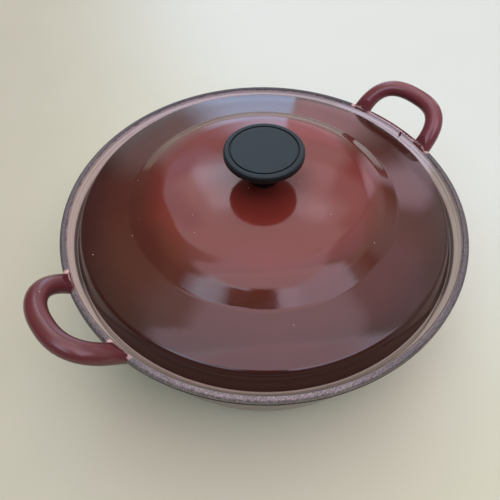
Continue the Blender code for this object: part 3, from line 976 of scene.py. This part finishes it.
# %% Metal finishes
def metal(name, light, dark, roughness):
    finish = Finish(name)
    rings = finish.noise(0.0002, detail=1.0, place=finish.vector(finish.radius, 0.0, finish.z))
    dulling_and_shade = finish.noise(0.003, detail=4.0, roughness=0.6)
    shade = finish.mix(dulling_and_shade.rise(0.35, 0.75), light, dark)
    bump = finish.bump(rings, 0.00002)
    return finish.apply(shade, roughness + dulling_and_shade * 0.15 + rings * 0.06, bump, metallic=1.0)


BRASS = colour(0.66, 0.46, 0.19)
BRASS_DULL = colour(0.42, 0.28, 0.12)
STEEL = colour(0.62, 0.61, 0.58)
STEEL_DULL = colour(0.40, 0.39, 0.37)
brass = metal("turned_brass", BRASS, BRASS_DULL, 0.24)
steel = metal("plated_steel", STEEL, STEEL_DULL, 0.22)
for node_name, material in (("knob_insert", brass), ("knob_washer", steel), ("knob_screw", steel)):
    mesh = nodes[node_name].data
    mesh.materials.clear()
    mesh.materials.append(material)
    print("CAD node", node_name, "now has", material.name)

# %% [markdown]
# ## Studio
# The floor is pale, with light and shade painted into its colour: lighter towards the right,
# cooler towards the window, and dimmer towards the left. A glossy pot shows whatever is round it,
# so the light is painted into the world as broad soft panels: a ceiling, a wall with a bluish
# window on the far side, and more panels behind the camera. A dark gap between those parts the
# crescent that they leave on the lid's shoulder.

# %% Floor
FLOOR_HALF = 4.0
FLOOR_SINK = 0.0002
SHADED_FLOOR = (colour(0.421, 0.450, 0.318), colour(0.458, 0.488, 0.351))
LIT_WARM_FLOOR = (colour(0.515, 0.572, 0.396), colour(0.546, 0.605, 0.429))
LIT_COOL_FLOOR = (colour(0.582, 0.683, 0.574), colour(0.614, 0.716, 0.608))
FLOOR_ROUGHNESS = 0.6
WINDOW_X = 0.66
WINDOW_Y = 0.75

floor_form = bmesh.new()
bmesh.ops.create_grid(floor_form, x_segments=8, y_segments=8, size=FLOOR_HALF)
bmesh.ops.translate(floor_form, verts=floor_form.verts, vec=(0, 0, -FLOOR_SINK))
floor_mesh = bpy.data.meshes.new("floor")
floor_form.to_mesh(floor_mesh)
floor_form.free()
floor = bpy.data.objects.new("floor", floor_mesh)
bpy.context.scene.collection.objects.link(floor)

floor_finish = Finish("floor_painted_light")
cloudy = floor_finish.noise(0.09, detail=4.0, roughness=0.6)
to_window = floor_finish.x * WINDOW_X + floor_finish.y * WINDOW_Y
to_right_side = floor_finish.x * WINDOW_Y - floor_finish.y * WINDOW_X
# Painted light: the floor is lighter towards the right and cooler towards the window
lit = (to_right_side + to_window * 0.1).rise(-0.31, 0.02)
cool_window_light = (to_right_side * 0.7 + to_window * 0.8).rise(-0.05, 0.30)
lit_warm_floor = floor_finish.mix(cloudy, *LIT_WARM_FLOOR)
lit_cool_floor = floor_finish.mix(cloudy, *LIT_COOL_FLOOR)
lit_floor = floor_finish.mix(cool_window_light, lit_warm_floor, lit_cool_floor)
floor_shade = floor_finish.mix(lit, floor_finish.mix(cloudy, *SHADED_FLOOR), lit_floor)
floor_mesh.materials.append(floor_finish.apply(floor_shade, FLOOR_ROUGHNESS))

# %% [markdown]
# The panels are placed round the pot by two angles in degrees. The bearing is 0 straight away
# from where the camera stands and 90 to its right, and the elevation is 0 at the horizon. Each
# panel is painted over the ones before it, with a radiance and a tint, and a tint of (1, 1, 1)
# is plain white.

# %% Bearing and elevation
NEUTRAL = (1.0, 1.0, 1.0)
DAYLIGHT = (0.97, 0.99, 1.03)
SKYLIGHT = (0.88, 0.94, 1.12)
WINDOW_SKY = (0.82, 1.00, 1.32)
DEEP_SKY = (0.72, 0.92, 1.30)
SLATE = (0.80, 1.00, 1.35)
COLD = (0.70, 1.00, 1.10)
COOL_WHITE = (0.87, 0.98, 1.20)
MAUVE = (0.96, 0.80, 0.99)
ORCHID = (1.00, 0.83, 1.04)
LILAC = (1.14, 0.92, 1.10)
ZENITH = (1.14, 0.93, 1.08)
PINK = (1.05, 0.93, 1.03)
BLUSH = (1.28, 0.88, 1.00)
ROSE = (1.35, 0.85, 0.96)
WARM = (1.18, 0.96, 1.02)
AMBER = (1.15, 1.00, 0.70)
UNLIT = colour(0.10, 0.09, 0.08)

world = bpy.data.worlds.new("studio")
bpy.context.scene.world = world
world.use_nodes = True
sky = Nodes(world.node_tree, "Generated")
to_right = sky.x * cos(CAMERA_HEADING) + sky.y * sin(CAMERA_HEADING)
to_far = sky.y * cos(CAMERA_HEADING) - sky.x * sin(CAMERA_HEADING)
bearing = to_right.math("ARCTAN2", to_far) * degrees(1)
elevation = sky.z.math("ARCSINE") * degrees(1)


def patch(under, mask, radiance, tint):
    return sky.mix(mask, under, colour(*(radiance * part for part in tint)))


def panels(under, rows):
    # Each row: bearings from, to and softness; elevations from, to and softness; radiance; tint
    for sides, heights, radiance, tint in rows:
        under = patch(under, bearing.band(*sides) * elevation.band(*heights), radiance, tint)
    return under

# %% Room to the left and right
at_left = bearing.band(-104, -38, 5)
haze = elevation - bearing.band(-83, -38, 8) * 12 - bearing.band(52, 100, 8) * 4
light = patch(UNLIT, elevation.rise(-10, 5) * 0.8, 0.10, NEUTRAL)
light = patch(light, at_left * elevation.rise(30, 50), 0.35, AMBER)
light = patch(light, bearing.band(42, 112, 8) * elevation.rise(4, 24), 0.70, NEUTRAL)
light = panels(light, [
    ((30, 42, 4), (-4, 32, 5), 1.20, LILAC),
    ((33, 43, 3), (22, 34, 3), 1.80, LILAC),
    ((82, 96, 5), (26, 37, 3), 0.15, NEUTRAL),
])
light = patch(light, bearing.band(46, 80, 6) * elevation.rise(38, 46), 0.95, ZENITH)
light = patch(light, bearing.band(-34, 24, 5) * elevation.rise(-14, 2), 0.62, DAYLIGHT)
light = patch(light, at_left * elevation.rise(52, 66), 0.75, NEUTRAL)
light = patch(light, haze.rise(56, 63), 1.98, ZENITH)
print("room painted,", len(world.node_tree.nodes), "nodes so far")

# %% [markdown]
# Behind the camera the panels are bright, because the lid's shoulder mirrors them at the front.
# The dark gap between them has a tall part, up to an elevation of about 67 degrees, and a low
# part beside it that slants off.

# %% Behind the camera
at_right_rear = (bearing + elevation.rise(46, 54) * 8).rise(92, 104)
at_rear = at_right_rear + 1 - bearing.rise(-124, -104)
tall_gap = bearing.rise(160, 165) + 1 - bearing.rise(-172, -162)
tall_gap = tall_gap * (1 - elevation.rise(65, 69))
low_gap = (1 - bearing.rise(-152, -136)) * (1 - elevation.rise(61, 63))
low_gap = low_gap * (elevation + (bearing + 164) * 0.10).rise(55.6, 57.0)
light = patch(light, at_rear * (elevation + at_right_rear * 2).rise(42, 46), 3.5, COOL_WHITE)
light = patch(light, at_right_rear * elevation.rise(40, 44), 3.2, MAUVE)
light = patch(light, bearing.band(142, 170, 9) * elevation.rise(48, 52), 3.8, ORCHID)
light = patch(light, at_rear * elevation.rise(60, 68), 2.3, BLUSH)
light = panels(light, [((-156, -128, 9), (46, 62, 4), 3.0, COOL_WHITE)])
light = patch(light, tall_gap.math("MAXIMUM", low_gap), 0.06, NEUTRAL)
print("rear painted,", len(world.node_tree.nodes), "nodes so far")

# %% [markdown]
# The far wall holds the window, whose light lies low and blue along the back of the flange, and
# smaller panels above and beside it that make the patches on the dome's far side.

# %% Far wall and window
above_window = (bearing + elevation.rise(44, 60) * 20).rise(-37, -29) * (1 - bearing.rise(38, 46))
below_zenith = 1 - elevation.rise(64, 76)
light = patch(light, above_window * elevation.rise(36, 40) * below_zenith, 1.7, NEUTRAL)
light = panels(light, [
    ((-37, -28, 3), (37, 56, 3), 1.20, COLD),
    ((-30, -14, 4), (30, 37, 3), 1.0, SLATE),
    ((6, 22, 3), (28, 37, 3), 1.15, NEUTRAL),
    ((8, 22, 3), (36, 48, 2), 1.80, WARM),
    ((4, 14, 3), (39, 48, 2), 1.25, NEUTRAL),
    ((22, 42, 2), (36, 46, 3), 0.9, NEUTRAL),
    ((33, 42, 2), (44, 54, 3), 0.9, NEUTRAL),
    ((5, 20, 3), (4, 27, 2), 1.20, ROSE),
])
window = (bearing - elevation.rise(14, 20) * 3).rise(-18, -2) * (1 - bearing.rise(4.5, 6))
window = window * elevation.band(-2, 26, 2)
light = patch(light, window, 2.70, WINDOW_SKY)
light = patch(light, window * (1 - elevation.rise(12, 22)), 2.32, DEEP_SKY)
light = patch(light, window * (1 - elevation.rise(2, 7)), 1.60, DEEP_SKY)
light = panels(light, [
    ((-21.5, -9, 2.5), (37, 46, 3), 3.7, SKYLIGHT),
    ((-21, -8, 2), (45, 54, 2), 3.5, PINK),
    ((12, 27, 3), (49, 55, 2), 3.1, PINK),
])
background = world.node_tree.nodes["Background"]
world.node_tree.links.new(light.socket, background.inputs["Color"])
background.inputs["Strength"].default_value = 1.0
print("world has", len(world.node_tree.nodes), "nodes")
bpy.context.scene.view_settings.view_transform = "Standard"
